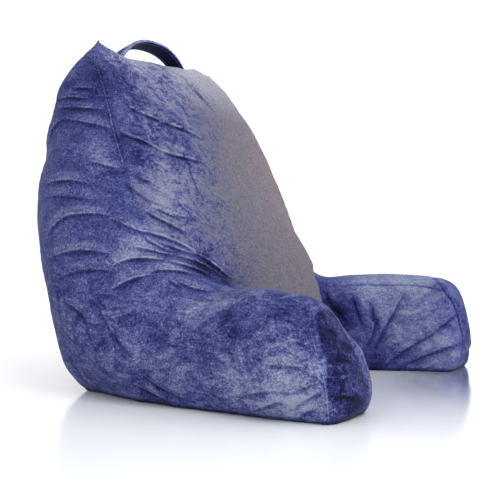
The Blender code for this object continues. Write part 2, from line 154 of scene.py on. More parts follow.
# Folds: a trough below a ridge, along a bow through three places on the cloth, and how light the ridge is: the
# material paints a highlight along the ridge and shade in the trough.
# With 2 sides a fold has a mirror image.
Fold = namedtuple("Fold", "place start middle end width depth sides light")
FOLDS = (
    Fold("side, second", (-0.189, 0.187, 0.362), (-0.203, 0.14, 0.363), (-0.192, 0.108, 0.359),
         0.004, 0.0016, 2, 1.7),
    Fold("side, bowed rear", (-0.2, 0.204, 0.316), (-0.201, 0.192, 0.339), (-0.205, 0.164, 0.349),
         0.0045, 0.0016, 1, 1.7),
    Fold("side, bowed", (-0.204, 0.168, 0.349), (-0.207, 0.125, 0.341), (-0.197, 0.096, 0.334),
         0.0045, 0.0016, 2, 1.7),
    Fold("side, glint", (-0.182, 0.163, 0.391), (-0.185, 0.147, 0.39), (-0.187, 0.13, 0.389),
         0.004, 0.0016, 1, 1.7),
    Fold("side, at the seam", (-0.227, 0.112, 0.292), (-0.218, 0.089, 0.285), (-0.205, 0.073, 0.282),
         0.004, 0.0016, 2, 1.7),
    Fold("side, below the seam glint", (-0.229, 0.103, 0.271), (-0.217, 0.085, 0.279), (-0.202, 0.069, 0.277),
         0.005, 0.0015, 1, 1.0),
    Fold("side, long upper", (-0.247, 0.14, 0.217), (-0.249, 0.099, 0.225), (-0.235, 0.068, 0.221),
         0.005, 0.0016, 2, 1.7),
    Fold("side, long lower", (-0.238, 0.072, 0.221), (-0.214, 0.041, 0.207), (-0.166, 0.015, 0.194),
         0.005, 0.0016, 2, 1.7),
    Fold("side, long rear", (-0.241, 0.161, 0.194), (-0.247, 0.14, 0.214), (-0.252, 0.112, 0.226),
         0.005, 0.0016, 1, 1.7),
    Fold("front, bowed", (-0.192, 0.091, 0.33), (-0.17, 0.074, 0.32), (-0.143, 0.062, 0.307),
         0.005, 0.0044, 1, 1.1),
    Fold("front, bowed end", (-0.148, 0.063, 0.308), (-0.112, 0.055, 0.302), (-0.055, 0.052, 0.293),
         0.005, 0.0044, 1, 1.1),
    Fold("front, upper", (-0.167, 0.102, 0.366), (-0.144, 0.09, 0.355), (-0.119, 0.079, 0.345),
         0.005, 0.0044, 1, 1.1),
    Fold("front, upper end", (-0.125, 0.08, 0.346), (-0.086, 0.075, 0.343), (-0.037, 0.073, 0.331),
         0.005, 0.0044, 1, 1.1),
    Fold("front, below the blotch", (-0.195, 0.065, 0.275), (-0.181, 0.056, 0.268), (-0.164, 0.047, 0.261),
         0.005, 0.002, 2, 0.7),
    Fold("front, slanting", (-0.2, 0.048, 0.232), (-0.177, 0.033, 0.218), (-0.153, 0.013, 0.198),
         0.0055, 0.004, 1, 1.1),
    Fold("front, slanting lower", (-0.188, 0.045, 0.236), (-0.165, 0.031, 0.225), (-0.14, 0.014, 0.21),
         0.005, 0.0025, 1, 0.7),
    Fold("front, above slanting", (-0.187, 0.046, 0.238), (-0.162, 0.03, 0.226), (-0.131, 0.014, 0.215),
         0.005, 0.0018, 1, 1.1),
    Fold("front, from the seam", (-0.21, 0.069, 0.266), (-0.196, 0.054, 0.251), (-0.174, 0.04, 0.236),
         0.005, 0.002, 1, 0.8),
    Fold("front, upright", (-0.097, 0.052, 0.299), (-0.098, 0.041, 0.269), (-0.098, 0.023, 0.236),
         0.006, 0.002, 1, 0.7),
    Fold("front, upright small", (-0.144, 0.038, 0.252), (-0.141, 0.029, 0.237), (-0.132, 0.021, 0.227),
         0.005, 0.0018, 1, 0.7),
    Fold("front, far corner", (0.034, 0.133, 0.421), (0.041, 0.114, 0.4), (0.057, 0.103, 0.379),
         0.005, 0.003, 1, 0.7),
    Fold("front, far corner second", (0.035, 0.152, 0.436), (0.034, 0.119, 0.406), (0.058, 0.096, 0.368),
         0.006, 0.002, 1, 0.7),
    Fold("root, top", (-0.201, 0.03, 0.204), (-0.177, 0.014, 0.192), (-0.161, -0.007, 0.175),
         0.0045, 0.0035, 1, 1.4),
    Fold("root, top end", (-0.164, -0.004, 0.177), (-0.142, -0.022, 0.158), (-0.119, -0.031, 0.14),
         0.0045, 0.004, 2, 1.4),
    Fold("root, second", (-0.227, 0.043, 0.186), (-0.21, 0.022, 0.184), (-0.182, 0.004, 0.174),
         0.0045, 0.003, 2, 1.4),
    Fold("root, second end", (-0.185, 0.007, 0.175), (-0.157, -0.014, 0.161), (-0.128, -0.029, 0.142),
         0.0045, 0.0035, 2, 1.4),
    Fold("root, third", (-0.245, 0.06, 0.161), (-0.225, 0.037, 0.172), (-0.193, 0.009, 0.169),
         0.0045, 0.003, 2, 1.5),
    Fold("root, third end", (-0.197, 0.012, 0.169), (-0.173, -0.005, 0.159), (-0.151, -0.024, 0.145),
         0.0045, 0.003, 2, 1.4),
    Fold("root, fourth", (-0.221, 0.022, 0.156), (-0.197, 0.006, 0.158), (-0.17, -0.017, 0.148),
         0.0045, 0.0025, 1, 1.4),
    Fold("root, small", (-0.212, 0.037, 0.202), (-0.202, 0.023, 0.191), (-0.186, 0.008, 0.18),
         0.004, 0.0025, 1, 1.0),
    Fold("root, glint", (-0.211, 0.002, 0.148), (-0.207, -0.007, 0.143), (-0.204, -0.016, 0.137),
         0.004, 0.002, 1, 1.0),
    Fold("root, fifth", (-0.253, 0.057, 0.132), (-0.239, 0.038, 0.147), (-0.218, 0.015, 0.154),
         0.0045, 0.0025, 1, 1.3),
    Fold("root, crest", (-0.203, -0.004, 0.15), (-0.197, -0.02, 0.139), (-0.186, -0.048, 0.136),
         0.0045, 0.002, 1, 1.5),
    Fold("root, between", (-0.199, 0.023, 0.195), (-0.178, 0.007, 0.183), (-0.152, -0.015, 0.168),
         0.0045, 0.0025, 1, 1.2),
    Fold("arm, at the cap", (-0.26, -0.153, 0.06), (-0.257, -0.176, 0.06), (-0.253, -0.203, 0.06),
         0.005, 0.0025, 2, 1.0),
    Fold("arm, low", (-0.259, -0.123, 0.023), (-0.266, -0.159, 0.033), (-0.26, -0.189, 0.033),
         0.005, 0.0025, 2, 1.0),
    Fold("arm, low end", (-0.261, -0.185, 0.033), (-0.257, -0.201, 0.038), (-0.251, -0.215, 0.044),
         0.005, 0.0025, 1, 1.0),
    Fold("arm, corner", (-0.253, -0.182, 0.013), (-0.254, -0.201, 0.025), (-0.25, -0.218, 0.036),
         0.005, 0.003, 2, 1.0),
    Fold("arm, corner small", (-0.249, -0.188, 0.005), (-0.251, -0.203, 0.014), (-0.25, -0.216, 0.02),
         0.005, 0.002, 1, 1.0),
    Fold("arm, foot", (-0.252, -0.131, 0.005), (-0.259, -0.16, 0.018), (-0.259, -0.181, 0.025),
         0.005, 0.002, 1, 1.0),
    Fold("arm, sweep", (-0.252, 0.026, 0.028), (-0.249, 0.001, 0.015), (-0.248, -0.032, 0.006),
         0.006, 0.002, 2, 1.0),
    Fold("arm, sweep second", (-0.255, 0.006, 0.04), (-0.252, -0.02, 0.023), (-0.25, -0.057, 0.01),
         0.006, 0.0016, 1, 1.0),
    Fold("side, low sweep", (-0.259, 0.073, 0.121), (-0.259, 0.049, 0.086), (-0.26, 0.016, 0.058),
         0.006, 0.0016, 1, 1.0),
    Fold("side, middle", (-0.243, 0.156, 0.167), (-0.254, 0.102, 0.18), (-0.242, 0.062, 0.175),
         0.005, 0.0016, 2, 1.7),
    Fold("side, middle second", (-0.248, 0.142, 0.14), (-0.257, 0.093, 0.156), (-0.242, 0.05, 0.154),
         0.005, 0.0016, 1, 1.0),
    Fold("side, rear fan", (-0.252, 0.126, 0.118), (-0.258, 0.095, 0.105), (-0.258, 0.08, 0.085),
         0.005, 0.0018, 2, 1.0),
    Fold("side, shoulder", (-0.224, 0.18, 0.261), (-0.236, 0.14, 0.267), (-0.232, 0.101, 0.261),
         0.005, 0.0016, 2, 1.7),
    Fold("side, shoulder second", (-0.226, 0.182, 0.243), (-0.242, 0.128, 0.247), (-0.233, 0.082, 0.241),
         0.005, 0.0016, 1, 1.0),
    Fold("cap, upper", (-0.222, -0.206, 0.097), (-0.206, -0.212, 0.087), (-0.194, -0.219, 0.073),
         0.005, 0.001, 1, 0.5),
    Fold("cap, middle", (-0.243, -0.22, 0.066), (-0.216, -0.224, 0.065), (-0.193, -0.231, 0.054),
         0.005, 0.002, 2, 0.5),
    Fold("cap, low", (-0.246, -0.226, 0.027), (-0.229, -0.236, 0.03), (-0.193, -0.238, 0.017),
         0.005, 0.002, 2, 0.5),
    Fold("inner, second", (0.141, -0.089, 0.112), (0.134, -0.101, 0.086), (0.128, -0.116, 0.058),
         0.005, 0.0025, 1, 0.3),
    Fold("inner, third", (0.148, -0.115, 0.098), (0.133, -0.127, 0.065), (0.118, -0.114, 0.027),
         0.005, 0.003, 1, 0.3),
    Fold("inner, fourth", (0.167, -0.161, 0.113), (0.141, -0.145, 0.07), (0.124, -0.127, 0.03),
         0.005, 0.003, 1, 0.3),
    Fold("inner, long", (0.16, -0.218, 0.06), (0.147, -0.18, 0.038), (0.125, -0.142, 0.007),
         0.005, 0.003, 1, 0.3),
    Fold("inner, low", (0.184, -0.243, 0.048), (0.153, -0.205, 0.028), (0.133, -0.161, 0.005),
         0.005, 0.003, 1, 0.3),
    Fold("inner, cap", (0.178, -0.239, 0.086), (0.162, -0.223, 0.069), (0.156, -0.201, 0.054),
         0.005, 0.0025, 1, 0.3),
    Fold("inner, first", (0.125, -0.056, 0.115), (0.122, -0.068, 0.093), (0.121, -0.093, 0.069),
         0.005, 0.003, 2, 0.3),
    Fold("side, highest", (-0.18, 0.19, 0.378), (-0.191, 0.16, 0.377), (-0.193, 0.134, 0.372),
         0.005, 0.0016, 1, 1.7),
    Fold("back, left corner", (-0.176, 0.202, 0.384), (-0.12, 0.214, 0.372), (-0.06, 0.222, 0.346),
         0.005, 0.003, 2, 1.0),
    Fold("back, left middle", (-0.196, 0.221, 0.262), (-0.14, 0.236, 0.248), (-0.08, 0.242, 0.252),
         0.005, 0.002, 2, 1.0),
    Fold("back, low", (-0.206, 0.197, 0.12), (-0.15, 0.225, 0.104), (-0.088, 0.233, 0.112),
         0.006, 0.003, 2, 1.0),
    Fold("back, foot", (-0.15, 0.19, 0.04), (-0.06, 0.2, 0.052), (0.04, 0.205, 0.046),
         0.006, 0.002, 1, 1.0),
)
BOW_STEPS = 24
BOW_FADE = 0.7
FOLD_WIDTHS = 4
FOLD_LAYERS = 4
FOLD_FOOT = 0.02
TROUGH_AT = -0.4
RIDGE_AT = 1.2
RIDGE_HEIGHT = 0.5
CREASE_REACH = 0.009
CREASE_FADE = 3
FULL_DEPTH = 0.003
MOST_STRENGTH = 1.2
MOST_PROUD = 0.014

# Where the pile is brushed up light or down dark, and where light and shade are painted on it: lighter lit tops of the
# arms and the front, and painted shade in creases, hollows, the roots of the arms and the far arm's foot. Columns: a
# place, how far round it the tone reaches, and how much lighter
Tone = namedtuple("Tone", "place x y z reach lighter")
TONES = (
    Tone("arm, light front", -0.257, -0.187, 0.025, 0.040, 0.42),
    Tone("arm, light middle", -0.261, -0.116, 0.036, 0.032, 0.26),
    Tone("arm, light upper", -0.256, -0.178, 0.070, 0.042, 0.22),
    Tone("arm, streak", -0.222, -0.057, 0.114, 0.024, 0.25),
    Tone("arm, streak front", -0.222, -0.086, 0.122, 0.014, 0.22),
    Tone("arm, streak rear", -0.225, -0.038, 0.109, 0.016, 0.25),
    Tone("arm, dark shoulder", -0.235, -0.174, 0.109, 0.026, -0.20),
    Tone("arm, dark near the cap", -0.244, -0.193, 0.087, 0.016, -0.10),
    # Painted light on the arm's top, where the light falls
    Tone("arm, top", -0.215, -0.120, 0.128, 0.040, 0.14),
    # Painted shade in the arm's hollow
    Tone("arm, dark hollow", -0.244, -0.107, 0.102, 0.026, -0.22),
    Tone("arm, rear light", -0.259, 0.014, 0.057, 0.014, 0.3),
    Tone("arm, dark low", -0.254, 0.009, 0.032, 0.018, -0.18),
    Tone("arm, light low", -0.251, -0.056, 0.040, 0.024, 0.12),
    Tone("side, dark top", -0.173, 0.137, 0.412, 0.042, -0.2),
    Tone("side, upper dark", -0.195, 0.150, 0.368, 0.045, -0.13),
    Tone("side, dark blotch", -0.178, 0.068, 0.296, 0.023, -0.36),
    Tone("side, light patch", -0.221, 0.106, 0.307, 0.019, 0.18),
    Tone("side, rear light", -0.201, 0.203, 0.311, 0.014, 0.10),
    Tone("front, light", -0.148, 0.051, 0.276, 0.037, 0.25),
    Tone("front, light low", -0.167, 0.037, 0.236, 0.033, 0.3),
    Tone("front, root light", -0.211, 0.029, 0.192, 0.025, 0.25),
    # Painted shade where the folds meet at the root of the arm
    Tone("root, dark", -0.154, -0.014, 0.165, 0.019, -0.3),
    Tone("root, dark end", -0.128, -0.029, 0.144, 0.020, -0.35),
    Tone("root, rear light", -0.231, 0.051, 0.189, 0.017, 0.20),
    Tone("root, light fold", -0.238, 0.051, 0.166, 0.013, 0.22),
    Tone("root, light end", -0.195, 0.007, 0.160, 0.010, 0.20),
    # Painted shade deep in the root
    Tone("root, deep", -0.157, -0.013, 0.162, 0.014, -0.22),
    # Painted light near the top of the front
    Tone("front, near top", -0.084, 0.137, 0.422, 0.026, 0.15),
    Tone("front, dark top", -0.150, 0.113, 0.390, 0.022, -0.28),
    # Painted shade beside the seam
    Tone("front, dark beside the seam", -0.193, 0.086, 0.321, 0.015, -0.25),
    Tone("front, shade", -0.142, 0.016, 0.211, 0.027, -0.05),
    # Painted shade at the root and along the foot of the far arm's inner side
    Tone("inner, dark root", 0.127, -0.083, 0.074, 0.032, -0.36),
    Tone("inner, dark foot", 0.120, -0.129, 0.013, 0.027, -0.35),
    Tone("inner, light", 0.157, -0.204, 0.060, 0.045, 0.21),
    Tone("inner, light foot", 0.157, -0.219, 0.017, 0.030, 0.22),
    Tone("inner, middle", 0.138, -0.157, 0.052, 0.027, 0.14),
    # Painted light on the far arm's top
    Tone("far arm, top light", 0.172, -0.121, 0.129, 0.059, 0.36),
    Tone("far arm, top end light", 0.182, -0.196, 0.128, 0.039, 0.3),
    Tone("side, low dark", -0.222, 0.109, 0.019, 0.026, 0.04),
    Tone("side, middle light", -0.237, 0.010, 0.122, 0.028, 0.1),
    # Painted shade in the crease beside the strap
    Tone("front, crease beside the strap", 0.101, 0.166, 0.460, 0.013, -0.60),
    # Painted light along the top of the front
    Tone("front, top light", 0.060, 0.140, 0.425, 0.070, 0.35),
    Tone("front, top edge light", -0.060, 0.165, 0.448, 0.035, 0.30),
)

# How wide the change from the side panel to the front is, for the colour and for the uneven pile
FRONT_CHANGE = 0.008
CRUSHED_CHANGE = 0.040
FACES_FRONT = (0.35, 0.15)
SEAT_FRONT = -0.09

# How much more or less uneven the pile is on the sides, the front, the near cap and the far arm, and its grain
SIDE_CALM = 0.55
FRONT_CRUSHED = 0.40
CAP_CRUSHED = 0.5
FAR_ARM_CALM = 0.30
GRAIN = 1.15
CAP_GRAIN = 0.20

# Where these changes lie: the upper sides by height, the far arm along x and y, and the edges of an arm's cap
UPPER_SIDES = (0.10, 0.18)
FAR_ARM_X = (0.10, 0.13)
FAR_ARM_Y = (0, -0.02)
CAP_INNER_EDGE = (-0.003, 0.003)
CAP_OUTER_EDGE = (-0.001, 0.003)

# How much darker the near cap's pile is, and the far cap's share of it, and the painted contact shadow along the foot,
# with the heights over which it fades
CAP_LIGHTER = -0.38
FAR_CAP_SHARE = 0.25
FOOT_PAINTED_SHADOW = 0.55
FOOT_SHADE = (0.007, 0.001)

# The pile hides the seam's line where the backrest runs into the arm, and on the far arm the line is dark
HIDDEN_BELOW = (0.300, 0.270)
HIDDEN_ABOVE = (0.125, 0.145)
HIDDEN_BEFORE = 0.12
SEAM_HIDDEN = 0.75
FAR_SEAM_DARK = 1.8

# The strap handle
STRAP_CELLS = (72, 8)
STRAP_FINER = 2
STRAP_SPAN = 0.170
STRAP_MIDDLE_Y = 0.1816
STRAP_ROOT_Y = 0.1750
STRAP_TOP = 0.482
STRAP_ROOT = 0.447
STRAP_WIDTH = 0.026
STRAP_THICKNESS = 0.0052
STRAP_NARROWING = 0.60
STRAP_TILT = math.radians(20)
STRAP_SQUARENESS = 2.5
STRAP_STITCH = 0.004
STRAP_EDGE = 0.0022
# Painted sheen along the strap's edges, the strap's darker tone, its hem line, and painted shade on the inner face of
# its arch with how far it spreads
STRAP_EDGE_PAINTED_SHEEN = 0.62
STRAP_LIGHTER = -0.24
STRAP_HEM_LIGHTER = 2.6
STRAP_INSIDE_PAINTED_SHADE = -0.62
STRAP_INSIDE_SPREAD = 1.5
STRAP_CRUSHED = 0.6


def curve_point(points, length):
    """The point at a share of the length of a smooth curve through the points."""
    steps = [(b - a).length for a, b in zip(points, points[1:])]
    wanted = length * sum(steps)
    index = 0
    while index < len(steps) - 1 and wanted > steps[index]:
        wanted -= steps[index]
        index += 1
    start, end = points[index], points[index + 1]
    before = points[index - 1] if index else 2 * start - end
    after = points[index + 2] if index + 2 < len(points) else 2 * end - start
    t = min(wanted / steps[index], 1.0)
    lean_in, lean_out = (end - before) / 2, (after - start) / 2
    rise = t * t * (3 - 2 * t)
    return start * (1 - rise) + end * rise + lean_in * (t * (1 - t) ** 2) - lean_out * (t * t * (1 - t))


def seam_points(rows, side=1):
    """Points a millimetre apart along a seam."""
    points = [Vector((side * row.x, row.y, row.z)) for row in rows]
    count = round(POINTS_PER_METRE * sum((b - a).length for a, b in zip(points, points[1:])))
    return [curve_point(points, i / count) for i in range(count + 1)]


def all_seams():
    lines = [seam_points(TOP_SEAM)]
    for side in (1, -1):
        lines += [seam_points(rows, side) for rows in (FRONT_SEAM, BACK_SEAM, CAP_SEAM, END_SEAM, CREASE)]
    return lines


def seam_shows(co):
    """How light a seam's line shows at each point."""
    hidden = smooth_step(*HIDDEN_BELOW, co[:, 2]) * smooth_step(*HIDDEN_ABOVE, co[:, 2]) * (co[:, 1] < HIDDEN_BEFORE)
    return (1 - SEAM_HIDDEN * hidden) * (1 - FAR_SEAM_DARK * far_arm(co))


def top_corner(side):
    """The far top corner, with side 1, or the near one, with side -1."""
    return np.array((side * TOP_SEAM[0].x, TOP_SEAM[0].y, TOP_SEAM[0].z))


def nearest(points):
    """A finder of the point of a line that lies nearest to a place."""
    tree = KDTree(len(points))
    for index, point in enumerate(points):
        tree.insert(point, index)
    tree.balance()
    return tree


def only(obj):
    """Selects one object and makes it the active one."""
    bpy.ops.object.select_all(action="DESELECT")
    obj.select_set(True)
    bpy.context.view_layer.objects.active = obj


def places(mesh):
    co = np.empty(len(mesh.vertices) * 3)
    mesh.vertices.foreach_get("co", co)
    return co.reshape(-1, 3)


def normals(mesh):
    found = np.empty(len(mesh.vertices) * 3, np.float32)
    mesh.vertex_normals.foreach_get("vector", found)
    return found.reshape(-1, 3).astype(float)


def put(mesh, co):
    mesh.vertices.foreach_set("co", co.ravel())
    mesh.update()


def copy_of_solid(node, name):
    """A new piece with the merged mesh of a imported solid."""
    piece = bpy.data.objects.new(name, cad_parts[node].data.copy())
    bpy.context.scene.collection.objects.link(piece)
    piece.data.materials.clear()
    only(piece)
    bpy.ops.object.mode_set(mode="EDIT")
    bpy.ops.mesh.select_all(action="SELECT")
    bpy.ops.mesh.remove_doubles(threshold=MERGE_DISTANCE)
    bpy.ops.mesh.normals_make_consistent(inside=False)
    bpy.ops.object.mode_set(mode="OBJECT")
    return piece


def apply(piece, modifier):
    only(piece)
    bpy.ops.object.modifier_apply(modifier=modifier.name)


def remesh(piece, cell):
    modifier = piece.modifiers.new("cells", "REMESH")
    modifier.mode = "VOXEL"
    modifier.voxel_size = cell
    apply(piece, modifier)


def evened(mesh, move):
    """The moves of the points, each drawn towards those of its neighbours, so that no small waves are left."""
    ends = np.empty(len(mesh.edges) * 2, np.int32)
    mesh.edges.foreach_get("vertices", ends)
    ends = ends.reshape(-1, 2)
    count = np.bincount(ends.ravel(), minlength=len(move))[:, None]
    for _ in range(EVENING):
        total = np.zeros_like(move)
        np.add.at(total, ends[:, 0], move[ends[:, 1]])
        np.add.at(total, ends[:, 1], move[ends[:, 0]])
        move = (move + total / np.maximum(count, 1)) / 2
    return move


def fill_with_pressure(piece, seams):
    """Swells the cloth between its held seams and its base, and keeps it within the swell that it may have."""
    mesh = piece.data
    before = places(mesh)
    put(mesh, before - normals(mesh) * SLACK)
    finders = [nearest(line) for line in seams]
    held = piece.vertex_groups.new(name="held")
    for vert in mesh.vertices:
        near = min(finder.find(vert.co)[2] for finder in finders)
        hold = max(1 - near / HELD_NEAR_SEAM, 1 - vert.co.z / HELD_HEIGHT, 0)
        held.add([vert.index], min(hold * 2, 1), "REPLACE")
    cloth = piece.modifiers.new("filling", "CLOTH")
    settings = cloth.settings
    settings.use_pressure = True
    settings.uniform_pressure_force = PRESSURE
    settings.effector_weights.gravity = 0
    settings.vertex_group_mass = "held"
    settings.shrink_min = -SPARE_CLOTH
    settings.quality = FILLING_QUALITY
    settings.bending_stiffness = CLOTH_STIFFNESS
    cloth.collision_settings.use_collision = False
    cloth.point_cache.frame_start = 1
    cloth.point_cache.frame_end = FILLING_FRAMES
    scene = bpy.context.scene
    for step in range(1, FILLING_FRAMES + 1):
        scene.frame_set(step)
    apply(piece, cloth)
    scene.frame_set(1)
    after = places(piece.data)
    move = evened(piece.data, after - before)
    length = np.linalg.norm(move, axis=1, keepdims=True)
    move *= MOST_SWELL * np.tanh(length / MOST_SWELL) / np.maximum(length, 1e-9)
    after = before + move
    after[:, 2] = np.maximum(after[:, 2], 0)
    put(piece.data, after)
    piece.vertex_groups.clear()


def ease(piece, steps, group=""):
    """Smooths the small steps that the cells leave, on the whole piece or in one group of its points."""
    modifier = piece.modifiers.new("ease", "SMOOTH")
    modifier.factor = EASE_FACTOR
    modifier.iterations = steps
    modifier.vertex_group = group
    apply(piece, modifier)


def round_far_corner(piece):
    """The filling rounds the far top corner; the near one keeps its point."""
    corner = Vector(top_corner(1))
    group = piece.vertex_groups.new(name="far corner")
    for vert in piece.data.vertices:
        share = 1 - (vert.co - corner).length / ROUND_REACH
        if share > 0:
            group.add([vert.index], min(2 * share, 1), "REPLACE")
    ease(piece, ROUNDING, group.name)
    piece.vertex_groups.clear()


def subdivide(piece, levels):
    modifier = piece.modifiers.new("finer", "SUBSURF")
    modifier.levels = levels
    modifier.render_levels = levels
    apply(piece, modifier)


def bow(fold):
    """Places along a fold, with the share of its depth at each: it fades out at both ends."""
    start, middle, end = Vector(fold.start), Vector(fold.middle), Vector(fold.end)
    line = []
    for step in range(BOW_STEPS + 1):
        t = step / BOW_STEPS
        place = start * (1 - t) * (1 - 2 * t) + middle * 4 * t * (1 - t) + end * t * (2 * t - 1)
        line.append((place, math.sin(math.pi * t) ** BOW_FADE))
    return line


def both_sides(fold):
    """The fold, and its mirror image where it is on both sides."""
    yield fold
    if fold.sides == 2:
        ends = [(-x, y, z) for x, y, z in (fold.start, fold.middle, fold.end)]
        yield fold._replace(start=ends[0], middle=ends[1], end=ends[2])


def near_line(co, path, reach):
    """The points of the cloth inside the box of a line, swollen by reach."""
    low, high = path.min(axis=0) - reach, path.max(axis=0) + reach
    return np.flatnonzero(np.all((co > low) & (co < high), axis=1))


def across_line(co, out, path, index, pick):
    """How far each point is from a line, measured along the cloth: across the line, positive above it, and in all."""
    tangent = np.gradient(path, axis=0)[pick]
    side = np.cross(out[index], tangent)
    side /= np.maximum(np.linalg.norm(side, axis=1, keepdims=True), 1e-9)
    side *= np.where(side[:, 2:] < 0, -1, 1)
    offset = co[index] - path[pick]
    proud = (offset * out[index]).sum(axis=1)
    along_cloth = np.sqrt(np.maximum((offset**2).sum(axis=1) - proud**2, 0))
    return (offset * side).sum(axis=1), np.where(np.abs(proud) < MOST_PROUD, along_cloth, 1)


def press_folds(piece):
    """Presses the folds in.

    Returns how deep in a trough and how high on a ridge each point is, and the layers of creases, for the painted
    shade in troughs and the painted highlight on ridges.
    """
    co, out = places(piece.data), normals(piece.data)
    move, deep, high = np.zeros(len(co)), np.zeros(len(co)), np.zeros(len(co))
    layers = [
        (np.full(len(co), 1000 * CREASE_REACH), np.zeros(len(co)), np.ones(len(co)))
        for _ in range(FOLD_LAYERS)
    ]
    for fold in [each for row in FOLDS for each in both_sides(row)]:
        line = bow(fold)
        path = np.array([place for place, _ in line])
        share = np.array([hold for _, hold in line])
        index = near_line(co, path, FOLD_WIDTHS * fold.width)
        pick = np.linalg.norm(co[index, None] - path[None], axis=2).argmin(axis=1)
        away, gap = across_line(co, out, path, index, pick)
        past_end = np.maximum(gap**2 - away**2, 0) / fold.width**2
        hold = share[pick] * np.exp(-past_end) * np.clip(FOLD_WIDTHS - gap / fold.width, 0, 1)
        trough = hold * np.exp(-((away / fold.width - TROUGH_AT) ** 2))
        ridge = hold * np.exp(-((away / fold.width - RIDGE_AT) ** 2))
        move[index] += fold.depth * (RIDGE_HEIGHT * ridge - trough)
        deep[index] = np.maximum(deep[index], trough)
        high[index] = np.maximum(high[index], ridge * fold.light)
        close = gap < CREASE_REACH
        index, away, gap, pick = index[close], away[close], gap[close], pick[close]
        side, strength, light = min(layers, key=lambda layer: layer[1][index].sum())
        mine = share[pick] * min(fold.depth / FULL_DEPTH, MOST_STRENGTH)
        mine = mine * np.clip(CREASE_FADE - CREASE_FADE * gap / CREASE_REACH, 0, 1)
        stronger = mine > strength[index]
        side[index] = np.where(stronger, away * 1000, side[index])
        light[index] = np.where(stronger, fold.light, light[index])
        strength[index] = np.maximum(mine, strength[index])
    lift = np.clip(co[:, 2] / FOLD_FOOT, 0, 1)
    put(piece.data, co + out * (move * lift)[:, None])
    return deep, high, layers


def sew_seams(piece, seams):
    """Pulls each seam in and puckers the cloth beside it.

    Returns how many mm from a seam each point is, and how near.
    """
    co, out = places(piece.data), normals(piece.data)
    move, offset, strength = np.zeros(len(co)), np.zeros(len(co)), np.zeros(len(co))
    for line in seams:
        path = np.array(line)
        finder = nearest(line)
        index = near_line(co, path, 3 * PUCKER_REACH)
        found = [finder.find(place)[1:] for place in co[index]]
        pick = np.array([step for step, _ in found])
        gap = np.array([distance for _, distance in found])
        away, _ = across_line(co, out, path, index, pick)
        along = pick / POINTS_PER_METRE
        wave = np.sin(2 * math.pi * along / PUCKER_LENGTH + PUCKER_WANDER * np.sin(along * PUCKER_WANDER_TURNS))
        wave *= 0.5 + 0.5 * np.sin(along * PUCKER_FADE_TURNS + PUCKER_FADE_START)
        beside = gap / PUCKER_REACH
        move[index] -= SEAM_DEPTH * np.exp(-((gap / SEAM_WIDTH) ** 2))
        move[index] += PUCKER_DEPTH * wave * beside * np.exp(-(beside**2))
        near = np.exp(-((gap / SEAM_NEAR) ** 2))
        stronger = near > strength[index]
        offset[index] = np.where(stronger, away * 1000, offset[index])
        strength[index] = np.maximum(near, strength[index])
    for side in (1, -1):
        move *= 1 - np.exp(-((np.linalg.norm(co - top_corner(side), axis=1) / CORNER_CALM) ** 2))
    lift = np.clip(co[:, 2] / SEAM_FOOT, 0, 1)
    put(piece.data, co + out * (move * lift)[:, None])
    return offset, strength


def swell(piece):
    """Pushes the cloth out where the filling is full, and raises the near top corner to a point."""
    co = places(piece.data)
    move = np.zeros_like(co)
    for row in SWELLS:
        for side in (1, -1)[: row.sides]:
            away = np.linalg.norm(co - (side * row.x, row.y, row.z), axis=1) / row.reach
            move += np.array((side * row.push_x, row.push_y, row.push_z)) * np.exp(-(away**2))[:, None]
    near = np.exp(-((np.linalg.norm(co - top_corner(-1), axis=1) / CORNER_REACH) ** 2))
    move += np.array(CORNER_POINT) * near[:, None]
    put(piece.data, co + move)


def set_down(piece):
    """Lays the base flat on the floor and turns the foot of the cloth in under the body."""
    co, out = places(piece.data), normals(piece.data)
    low = co[:, 2].min()
    lowered = co[:, 2] - low * np.clip(1 - co[:, 2] / BASE_BLEND, 0, 1)
    co[:, 2] = np.where(co[:, 2] < low + BASE_THICKNESS, 0, lowered)
    under = np.clip(1 - co[:, 2] / FOOT_HEIGHT, 0, 1) ** 2
    level = out * (1, 1, 0)
    co -= FOOT_TURN * under[:, None] * level
    put(piece.data, co)


def pile_tone_and_painted_light(co):
    """How much lighter the pile lies at each point, with the painted light and painted shade from the table of tones.
    """
    tone = np.zeros(len(co))
    for row in TONES:
        away = np.linalg.norm(co - (row.x, row.y, row.z), axis=1) / row.reach
        tone += row.lighter * np.exp(-(away**2))
    return tone


def crushed(co, out):
    """How uneven the pile is: less on the upper sides, more on the front."""
    upper = smooth_step(*UPPER_SIDES, co[:, 2])
    front = front_share(co, out, CRUSHED_CHANGE)
    uneven = 1 + upper * (FRONT_CRUSHED * front - SIDE_CALM * (1 - front))
    return uneven * (1 + CAP_CRUSHED * cap_share(co) - FAR_ARM_CALM * far_arm(co))


def far_arm(co):
    """1 on the far arm and 0 on the rest."""
    return smooth_step(*FAR_ARM_X, co[:, 0]) * smooth_step(*FAR_ARM_Y, co[:, 1])


def grainy(co):
    """How strong the pile's grain is: more on the cap of the near arm, less on the far arm."""
    return GRAIN + CAP_GRAIN * cap_share(co) - FAR_ARM_CALM * far_arm(co)


def keep(mesh, name, values):
    """Keeps a number for each point of the mesh, for the material to read."""
    attribute = mesh.attributes.new(name, "FLOAT", "POINT")
    attribute.data.foreach_set("value", np.asarray(values, np.float32))


def smooth_step(low, high, value):
    t = np.clip((value - low) / (high - low), 0, 1)
    return t * t * (3 - 2 * t)


def seam_at(rows, height, name):
    """Where a seam lies at each height, along x or along y."""
    rows = sorted(rows, key=lambda row: row.z)
    return np.interp(height, [row.z for row in rows], [getattr(row, name) for row in rows])


